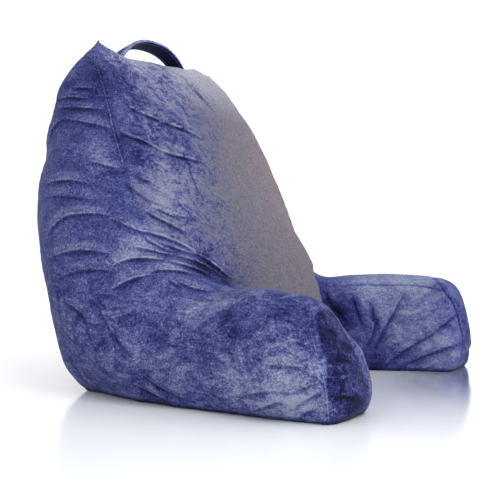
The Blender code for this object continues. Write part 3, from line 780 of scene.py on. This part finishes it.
def front_share(co, out, change=FRONT_CHANGE):
    """1 on the front panel and 0 on the others, with a soft change at the seam."""
    above_arm, beside_seat = seam_at(FRONT_SEAM[3:], co[:, 2], "x"), seam_at(CREASE, co[:, 2], "x")
    half = np.where(co[:, 2] < CREASE[0].z, beside_seat, above_arm)
    inside = smooth_step(0, change, half - np.abs(co[:, 0]))
    return inside * smooth_step(*FACES_FRONT, out[:, 1]) * (co[:, 1] > SEAT_FRONT)


def cap_share(co):
    """How much of the cap's dark each point has: it lies between the seams on both sides of the arm's end."""
    inside = smooth_step(*CAP_INNER_EDGE, np.abs(co[:, 0]) - seam_at(END_SEAM, co[:, 2], "x"))
    inside *= smooth_step(*CAP_OUTER_EDGE, seam_at(CAP_SEAM[1:], co[:, 2], "y") - co[:, 1])
    return inside * np.where(co[:, 0] > 0, FAR_CAP_SHARE, 1)


def make_body():
    seams = all_seams()
    piece = copy_of_solid("pillow", "plush_body")
    remesh(piece, CELL)
    fill_with_pressure(piece, seams)
    ease(piece, EASING)
    round_far_corner(piece)
    subdivide(piece, 1)
    deep, high, layers = press_folds(piece)
    seam_side, seam_near = sew_seams(piece, seams)
    co, out = places(piece.data), normals(piece.data)
    kept = [("trough", deep), ("ridge", high)]
    for number, (side, strength, light) in enumerate(layers):
        kept += [(f"crease_side_{number}", side), (f"crease_dark_{number}", strength)]
        kept.append((f"crease_light_{number}", strength * light))
    kept += [("seam_side", seam_side), ("seam_near", seam_near), ("stitch", seam_near * seam_shows(co))]
    kept += [("front", front_share(co, out)), ("crushed", crushed(co, out)), ("grainy", grainy(co))]
    # The pile's tone with its painted light and painted shade, the near cap's darker pile, and a painted contact
    # shadow along the foot
    nap_and_painted_light = pile_tone_and_painted_light(co) + CAP_LIGHTER * cap_share(co) - FOOT_PAINTED_SHADOW * smooth_step(*FOOT_SHADE, co[:, 2])
    for name, values in kept + [("nap_and_painted_light", nap_and_painted_light)]:
        keep(piece.data, name, values)
    swell(piece)
    set_down(piece)
    only(piece)
    bpy.ops.object.shade_smooth()
    return piece


def make_strap():
    bpy.ops.object.select_all(action="DESELECT")
    bpy.ops.mesh.primitive_grid_add(x_subdivisions=STRAP_CELLS[0], y_subdivisions=STRAP_CELLS[1], size=2)
    piece = bpy.context.active_object
    piece.name = "strap"
    share = places(piece.data)[:, 0]
    across = places(piece.data)[:, 1]
    swing = np.sin(share * math.pi / 2)
    half = STRAP_WIDTH / 2 * (1 - STRAP_NARROWING * share**4)
    tilt = STRAP_TILT * (1 - share**4)
    y = STRAP_MIDDLE_Y + (STRAP_ROOT_Y - STRAP_MIDDLE_Y) * share**4 + half * across * np.cos(tilt)
    z = STRAP_TOP - (STRAP_TOP - STRAP_ROOT) * np.abs(swing) ** STRAP_SQUARENESS - half * across * np.sin(tilt)
    put(piece.data, np.column_stack((swing * STRAP_SPAN / 2, y, z)))
    from_edge = (1 - np.abs(across)) * STRAP_WIDTH / 2
    keep(piece.data, "seam_side", (from_edge - STRAP_STITCH) * 1000)
    keep(piece.data, "seam_near", np.ones(len(share)))
    keep(piece.data, "stitch", np.full(len(share), STRAP_HEM_LIGHTER))
    keep(piece.data, "crushed", np.full(len(share), STRAP_CRUSHED))
    keep(piece.data, "grainy", np.ones(len(share)))
    # The strap's tone, with painted sheen along its edges
    keep(piece.data, "nap_and_painted_light", STRAP_LIGHTER + STRAP_EDGE_PAINTED_SHEEN * np.exp(-((from_edge / STRAP_EDGE) ** 2)))
    wall = piece.modifiers.new("folded cloth", "SOLIDIFY")
    wall.thickness = STRAP_THICKNESS
    wall.offset = 0
    apply(piece, wall)
    subdivide(piece, STRAP_FINER)
    paint_shade_inside(piece)
    bpy.ops.object.shade_smooth()
    return piece


def paint_shade_inside(piece):
    """Paints shade on the inner face of the strap's arch, where it turns down and in."""
    co, out = places(piece.data), normals(piece.data)
    inwards = np.array((0, STRAP_MIDDLE_Y, STRAP_ROOT)) - co
    inwards[:, 1] = 0
    inwards /= np.linalg.norm(inwards, axis=1, keepdims=True)
    nap_and_painted_light = np.empty(len(out), np.float32)
    piece.data.attributes["nap_and_painted_light"].data.foreach_get("value", nap_and_painted_light)
    nap_and_painted_light += STRAP_INSIDE_PAINTED_SHADE * np.clip((out * inwards).sum(axis=1) * STRAP_INSIDE_SPREAD, 0, 1)
    piece.data.attributes["nap_and_painted_light"].data.foreach_set("value", nap_and_painted_light.astype(np.float32))


class Sheet:
    """A material's node sheet, with short ways to add and join nodes."""

    def __init__(self, name):
        self.material = bpy.data.materials.new(name)
        self.material.use_nodes = True
        self.nodes = self.material.node_tree.nodes
        self.links = self.material.node_tree.links
        self.shader = self.nodes["Principled BSDF"]
        self.coords = self.nodes.new("ShaderNodeTexCoord").outputs["Object"]

    def join(self, source, socket):
        if hasattr(source, "is_output"):
            self.links.new(source, socket)
        else:
            socket.default_value = source

    def noise(self, kind):
        mapping = self.nodes.new("ShaderNodeMapping")
        mapping.inputs["Scale"].default_value = kind.stretch
        mapping.inputs["Rotation"].default_value = kind.turn
        self.links.new(self.coords, mapping.inputs["Vector"])
        node = self.nodes.new("ShaderNodeTexNoise")
        self.links.new(mapping.outputs["Vector"], node.inputs["Vector"])
        node.inputs["Scale"].default_value = kind.scale
        node.inputs["Detail"].default_value = kind.detail
        node.inputs["Roughness"].default_value = kind.roughness
        node.inputs["Distortion"].default_value = kind.distortion
        return node.outputs["Fac"]

    def attribute(self, name):
        node = self.nodes.new("ShaderNodeAttribute")
        node.attribute_name = name
        return node.outputs["Fac"]

    def math(self, operation, a, b=0.0, c=0.0):
        node = self.nodes.new("ShaderNodeMath")
        node.operation = operation
        for source, socket in zip((a, b, c), node.inputs):
            self.join(source, socket)
        return node.outputs["Value"]

    def times(self, a, b):
        return self.math("MULTIPLY", a, b)

    def finish(self, **values):
        for name, value in values.items():
            self.shader.inputs[name].default_value = value
        return self.material

    def ramp(self, source, stops):
        node = self.nodes.new("ShaderNodeValToRGB")
        self.links.new(source, node.inputs["Fac"])
        ends = node.color_ramp.elements
        for place, colour in stops[1:-1]:
            ends.new(place).color = (*colour, 1)
        ends[0].position, ends[0].color = stops[0][0], (*stops[0][1], 1)
        ends[-1].position, ends[-1].color = stops[-1][0], (*stops[-1][1], 1)
        return node.outputs["Color"]

    def clamped(self, source):
        node = self.nodes.new("ShaderNodeClamp")
        self.links.new(source, node.inputs["Value"])
        return node.outputs["Result"]

    def slope(self, source, gain, start):
        """The source times the gain, from the start on, kept between 0 and 1."""
        return self.clamped(self.math("MULTIPLY_ADD", source, gain, start))

    def around_none(self, source, gain, start):
        """A noise drawn to swing about 0, times the gain, from the start on."""
        return self.math("MULTIPLY_ADD", self.math("SUBTRACT", source, 0.5), gain, start)

    def mix(self, share, a, b, blend="MIX"):
        node = self.nodes.new("ShaderNodeMix")
        node.data_type = "RGBA"
        node.blend_type = blend
        self.join(share, node.inputs[0])
        for source, socket in ((a, node.inputs[6]), (b, node.inputs[7])):
            self.join(source if hasattr(source, "is_output") else (*source, 1), socket)
        return node.outputs[2]

    def product(self, a, b):
        return self.mix(1.0, a, b, "MULTIPLY")

    def bump(self, height, strength, distance, below=None):
        node = self.nodes.new("ShaderNodeBump")
        self.links.new(height, node.inputs["Height"])
        node.inputs["Strength"].default_value = strength
        node.inputs["Distance"].default_value = distance
        if below is not None:
            self.links.new(below, node.inputs["Normal"])
        return node.outputs["Normal"]


# Colours of the pile from rubbed down to brushed up, and the painted sheen of the smooth front: grey, taupe towards
# its far side, a painted light grey at its top and a painted shade low down
DARKEST = (0.003, 0.004, 0.022)
DARK = (0.008, 0.010, 0.056)
DEEP = (0.023, 0.027, 0.120)
INDIGO = (0.046, 0.056, 0.200)
LAVENDER = (0.130, 0.146, 0.285)
PALE = (0.280, 0.315, 0.440)
FRONT_SHEEN_GREY = (0.120, 0.116, 0.152)
FRONT_SHEEN_TAUPE = (0.172, 0.140, 0.158)
FRONT_TOP_PAINTED_LIGHT = (0.315, 0.315, 0.385)
LOW_SHADE = (0.90, 0.89, 0.89)
PILE_STOPS = ((0.0, DARKEST), (0.24, DARK), (0.40, DEEP), (0.56, INDIGO), (0.776, LAVENDER), (1.0, PALE))
PLUSH_FINISH = {
    "Roughness": 0.9,
    "Specular IOR Level": 0.1,
    "Sheen Weight": 0.10,
    "Sheen Roughness": 0.30,
    "Sheen Tint": (0.85, 0.85, 0.95, 1),
}

# The pile's unevenness, from broad clouds to single tufts, and the crumpled cloth below it
Noise = namedtuple("Noise", "scale detail roughness distortion stretch turn", defaults=(0.0, (1, 1, 1), (0, 0, 0)))
BROAD = Noise(11, 3, 0.5, 0.3, (1, 1, 1.3))
PATCHES = Noise(30, 5, 0.52, 1.6, (1, 0.9, 1.2), (0.5, 0.2, 0))
STROKES = Noise(95, 4, 0.55, 1.2, (1, 0.6, 1.6), (0.6, 0, 0.3))
TUFTS = Noise(340, 4, 0.9, 0.3)
FINE_TUFTS = Noise(850, 2, 0.8)
CRUMPLE = Noise(55, 4, 0.6, 0.6, (1, 0.6, 2.0), (0.5, 0, 0))
FINE_SHARE = 0.7

# How firm the edges of the clouds, patches and strokes are, and how far they reach between dark and light
BROAD_FIRM = (2.5, 0.12)
PATCHES_FIRM = (5.0, 0.24)
STROKES_FIRM = (4.5, 0.21)
MIDDLE_TONE = 0.42
GRAIN_AMOUNT = 1.5
TONE_GAIN, TONE_START = 0.8, 0.2

# Lines beside a fold or a seam: the seam's own line, painted shade in its groove, a painted highlight along a fold's
# ridge and painted shade along its trough; how many mm from it the middle lies, and how many mm wide it is
STITCH_LINE = (0.0, 0.8)
BESIDE_SEAM = (0.0, 4.0)
LIGHT_LINE = (1.4, 1.3)
DARK_LINE = (-1.8, 2.3)
LINES_UNEVEN, LINES_MIDDLE = 2.5, 0.85

# How much lighter each of these makes the pile: painted sheen on the front, painted highlight on ridges and their
# light lines, painted shade in troughs, their dark lines and seam grooves, and the seam's own line
FRONT_LIGHTER = 0.08
RIDGE_LIGHTER = 0.14
TROUGH_LIGHTER = -0.16
LIGHT_LINE_LIGHTER = 0.42
DARK_LINE_LIGHTER = -0.30
STITCH_LIGHTER = 0.40
BESIDE_LIGHTER = -0.14

# The front turns to its painted sheen grey past a line that leans across it: its place at floor height, and its lean
GREY_STARTS = -0.211
GREY_LEAN = 0.55
GREY_PATCHES = 0.10
GREY_TUFTS = 0.12

# The gain and the start of each change on the front: to the painted sheen grey, to its taupe far side, and by height,
# with painted shade low down and painted light at the top
TO_GREY = (9.0, 0.5)
TO_FAR_SIDE = (7.0, -0.35)
TO_UPPER = (3.0, 0.1)
TO_LOWER = (-10.0, 2.6)
TO_TOP = (11.0, -4.1)
TO_LIT = (2.5, -1.0)
NAP_AND_PAINTED_LIGHT_SHOWS = (1.5, 1.0)
FRONT_CALM = -0.6
MARKS_SHOW = -0.8
GREY_SHARE = 0.9
LIT_SHARE = 0.5
SPECKLE_AMOUNT = 3.2
SPECKLE_EDGE, SPECKLE_STROKES = 2.0, 0.22
SPECKLE_DARK = (0.55, 0.55, 0.60)
SPECKLE_LIGHT = (1.40, 1.40, 1.34)

# The relief of the pile: how strong each bump is, and how deep
FOLD_BUMP = (0.7, 0.0016)
CRUMPLE_BUMP = (0.45, 0.003)
PILE_BUMP = (0.45, 0.0010)
BESIDE_BUMP = -0.5

# The floor's polish: everywhere, near the pillow, and most between the arms, with its middle and width along x and y
FLOOR_FINISH = {"Base Color": (0.955, 0.978, 1.0, 1), "Roughness": 0.16}
POLISH = 0.02
POLISH_NEAR = 0.17
POLISH_NEAR_X = (-0.10, 0.24)
POLISH_NEAR_Y = (-0.06, 0.30)
POLISH_MORE = 0.95
POLISH_X = (0.17, 0.24)
POLISH_Y = (-0.30, 0.16)

# The soft studio light
SKY_STRENGTH = 1.08
Lamp = namedtuple("Lamp", "name place aim size power")
LAMPS = (
    Lamp("high soft light", (-0.6, -1.4, 2.2), (0, 0, 0.2), 1.4, 22),
    Lamp("front soft light", (0.9, -2.2, 1.1), (0, 0, 0.3), 1.2, 16),
)


def bell(sheet, source, middle, width):
    """1 where the source is at the middle, falling to 0 within about two widths."""
    away = sheet.math("DIVIDE", sheet.math("SUBTRACT", source, middle), width)
    return sheet.math("EXPONENT", sheet.times(sheet.times(away, away), -1.0))


def crisp(sheet, source, gain, amount):
    """A noise with firm edges, from minus half of the amount to plus half of it."""
    firm = sheet.clamped(sheet.around_none(source, gain, 0.5))
    return sheet.times(sheet.math("SUBTRACT", firm, 0.5), amount)


def add_up(sheet, sources):
    total = sources[0]
    for source in sources[1:]:
        total = sheet.math("ADD", total, source)
    return total


def velour(name):
    sheet = Sheet(name)
    broad, patches, strokes = sheet.noise(BROAD), sheet.noise(PATCHES), sheet.noise(STROKES)
    grain = sheet.noise(TUFTS)
    fine = sheet.noise(FINE_TUFTS)
    grain = sheet.around_none(fine, FINE_SHARE, grain)
    seam_near, seam_side = sheet.attribute("seam_near"), sheet.attribute("seam_side")
    ridge, trough, front = sheet.attribute("ridge"), sheet.attribute("trough"), sheet.attribute("front")
    stitch = sheet.times(bell(sheet, seam_side, *STITCH_LINE), sheet.attribute("stitch"))
    # Painted shade in the groove along each seam
    beside = sheet.times(bell(sheet, seam_side, *BESIDE_SEAM), seam_near)
    # Painted highlight along each fold's ridge and painted shade along its trough
    lights, darks = [], []
    for number in range(FOLD_LAYERS):
        side = sheet.attribute(f"crease_side_{number}")
        line = bell(sheet, side, *LIGHT_LINE)
        lights.append(sheet.times(line, sheet.attribute(f"crease_light_{number}")))
        line = bell(sheet, side, *DARK_LINE)
        darks.append(sheet.times(line, sheet.attribute(f"crease_dark_{number}")))
    uneven = sheet.clamped(sheet.around_none(strokes, LINES_UNEVEN, LINES_MIDDLE))
    light = sheet.times(add_up(sheet, lights), uneven)
    dark = sheet.times(add_up(sheet, darks), uneven)

    place = sheet.nodes.new("ShaderNodeSeparateXYZ")
    sheet.links.new(sheet.coords, place.inputs["Vector"])
    height = place.outputs["Z"]
    wander = sheet.around_none(patches, GREY_PATCHES, place.outputs["X"])
    wander = sheet.around_none(grain, GREY_TUFTS, wander)
    wander = sheet.math("MULTIPLY_ADD", height, -GREY_LEAN, sheet.math("SUBTRACT", wander, GREY_STARTS))
    across = sheet.slope(wander, *TO_GREY)
    far = sheet.slope(wander, *TO_FAR_SIDE)
    calm = sheet.math("MULTIPLY_ADD", sheet.times(front, across), FRONT_CALM, 1.0)

    clouds = ((broad, *BROAD_FIRM), (patches, *PATCHES_FIRM), (strokes, *STROKES_FIRM))
    cloud = add_up(sheet, [crisp(sheet, *each) for each in clouds])
    tone = sheet.times(cloud, sheet.attribute("crushed"))
    tone = sheet.math("MULTIPLY_ADD", tone, calm, MIDDLE_TONE)
    # The pile's brushed tone with painted light and painted shade, the painted contact shadow at the foot, and on the
    # strap painted sheen on its edges and painted shade under its arch
    tone = sheet.math("ADD", tone, sheet.attribute("nap_and_painted_light"))
    # Painted sheen on the front, painted highlight and shade along folds, painted shade in seam grooves, and the
    # seam's own line
    for source, lighter in (
        (front, FRONT_LIGHTER),
        (ridge, RIDGE_LIGHTER),
        (trough, TROUGH_LIGHTER),
        (light, LIGHT_LINE_LIGHTER),
        (dark, DARK_LINE_LIGHTER),
        (stitch, STITCH_LIGHTER),
        (beside, BESIDE_LIGHTER),
    ):
        tone = sheet.math("MULTIPLY_ADD", source, lighter, tone)
    grained = sheet.times(sheet.math("SUBTRACT", grain, 0.5), sheet.attribute("grainy"))
    tone = sheet.math("MULTIPLY_ADD", grained, GRAIN_AMOUNT, tone)
    plush = sheet.ramp(sheet.math("MULTIPLY_ADD", tone, TONE_GAIN, TONE_START), PILE_STOPS)

    # The front's painted sheen: grey, turning taupe towards the far side higher up, with painted shade low down and
    # painted light at the top, speckled by the pile's grain
    painted_sheen_face = sheet.mix(sheet.times(far, sheet.slope(height, *TO_UPPER)), FRONT_SHEEN_GREY, FRONT_SHEEN_TAUPE)
    low = sheet.mix(sheet.slope(height, *TO_LOWER), (1.0, 1.0, 1.0), LOW_SHADE)
    painted_sheen_face = sheet.product(painted_sheen_face, low)
    painted_sheen_face = sheet.mix(sheet.slope(height, *TO_TOP), painted_sheen_face, FRONT_TOP_PAINTED_LIGHT)
    speckle = sheet.around_none(grain, SPECKLE_AMOUNT, 0.5)
    speckle = sheet.math("ADD", speckle, crisp(sheet, strokes, SPECKLE_EDGE, SPECKLE_STROKES))
    painted_sheen_face = sheet.product(painted_sheen_face, sheet.mix(sheet.clamped(speckle), SPECKLE_DARK, SPECKLE_LIGHT))
    # Where the painted sheen covers the pile on the front: less over the fold lines and where the pile's tone is dark
    marks = sheet.clamped(sheet.math("ADD", light, dark))
    lit = sheet.slope(tone, *TO_LIT)
    share = sheet.clamped(sheet.math("MULTIPLY_ADD", across, GREY_SHARE, sheet.times(lit, LIT_SHARE)))
    share = sheet.times(share, sheet.math("MULTIPLY_ADD", marks, MARKS_SHOW, 1.0))
    share = sheet.times(share, sheet.slope(sheet.attribute("nap_and_painted_light"), *NAP_AND_PAINTED_LIGHT_SHOWS))
    colour = sheet.mix(sheet.times(front, share), plush, painted_sheen_face)
    sheet.links.new(colour, sheet.shader.inputs["Base Color"])

    relief = sheet.math("SUBTRACT", light, dark)
    relief = sheet.math("MULTIPLY_ADD", beside, BESIDE_BUMP, relief)
    normal = sheet.bump(relief, *FOLD_BUMP)
    crumple = sheet.noise(CRUMPLE)
    normal = sheet.bump(sheet.times(crumple, calm), *CRUMPLE_BUMP, normal)
    normal = sheet.bump(grain, *PILE_BUMP, normal)
    sheet.links.new(normal, sheet.shader.inputs["Normal"])
    return sheet.finish(**PLUSH_FINISH)


def floor_finish():
    """A pale floor, polished more between the arms than elsewhere."""
    sheet = Sheet("pale floor")
    place = sheet.nodes.new("ShaderNodeSeparateXYZ")
    sheet.links.new(sheet.coords, place.inputs["Vector"])
    x, y = place.outputs["X"], place.outputs["Y"]
    polish = sheet.times(bell(sheet, x, *POLISH_X), bell(sheet, y, *POLISH_Y))
    near = sheet.times(bell(sheet, x, *POLISH_NEAR_X), bell(sheet, y, *POLISH_NEAR_Y))
    polish = sheet.math("MULTIPLY_ADD", polish, POLISH_MORE, sheet.math("MULTIPLY_ADD", near, POLISH_NEAR, POLISH))
    sheet.links.new(polish, sheet.shader.inputs["Metallic"])
    return sheet.finish(**FLOOR_FINISH)


def make_camera():
    data = bpy.data.cameras.new("camera")
    data.lens = CAMERA_LENS
    data.shift_y = CAMERA_SHIFT_UP
    camera = bpy.data.objects.new("camera", data)
    camera.location = CAMERA_AT
    camera.rotation_euler = Vector((*CAMERA_FACES, 0)).to_track_quat("-Z", "Y").to_euler()
    bpy.context.scene.collection.objects.link(camera)
    bpy.context.scene.camera = camera


def make_floor():
    bpy.ops.mesh.primitive_plane_add(size=600, location=(0, 0, -0.0005))
    floor = bpy.context.active_object
    floor.name = "floor"
    floor.data.materials.append(floor_finish())


def add_light(row):
    data = bpy.data.lights.new(row.name, "AREA")
    data.size = row.size
    data.energy = row.power
    lamp = bpy.data.objects.new(row.name, data)
    lamp.location = row.place
    lamp.rotation_euler = (Vector(row.aim) - Vector(row.place)).to_track_quat("-Z", "Y").to_euler()
    bpy.context.scene.collection.objects.link(lamp)


def make_light():
    world = bpy.data.worlds.new("studio")
    world.use_nodes = True
    world.node_tree.nodes["Background"].inputs["Color"].default_value = (1, 1, 1, 1)
    world.node_tree.nodes["Background"].inputs["Strength"].default_value = SKY_STRENGTH
    bpy.context.scene.world = world
    for row in LAMPS:
        add_light(row)
    bpy.context.scene.view_settings.view_transform = "Standard"


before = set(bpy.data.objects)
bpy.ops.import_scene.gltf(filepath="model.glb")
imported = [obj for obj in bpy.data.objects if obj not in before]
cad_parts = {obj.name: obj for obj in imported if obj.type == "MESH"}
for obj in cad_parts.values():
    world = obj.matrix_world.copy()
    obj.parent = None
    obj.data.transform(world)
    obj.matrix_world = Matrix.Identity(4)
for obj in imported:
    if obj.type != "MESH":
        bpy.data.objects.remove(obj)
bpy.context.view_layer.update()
make_camera()
make_light()
make_floor()
plush = velour("indigo velour")
body = make_body()
body.data.materials.append(plush)
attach(body, "root")
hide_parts("pillow")
strap = make_strap()
strap.data.materials.append(plush)
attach(strap, "root")
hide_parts("handle")
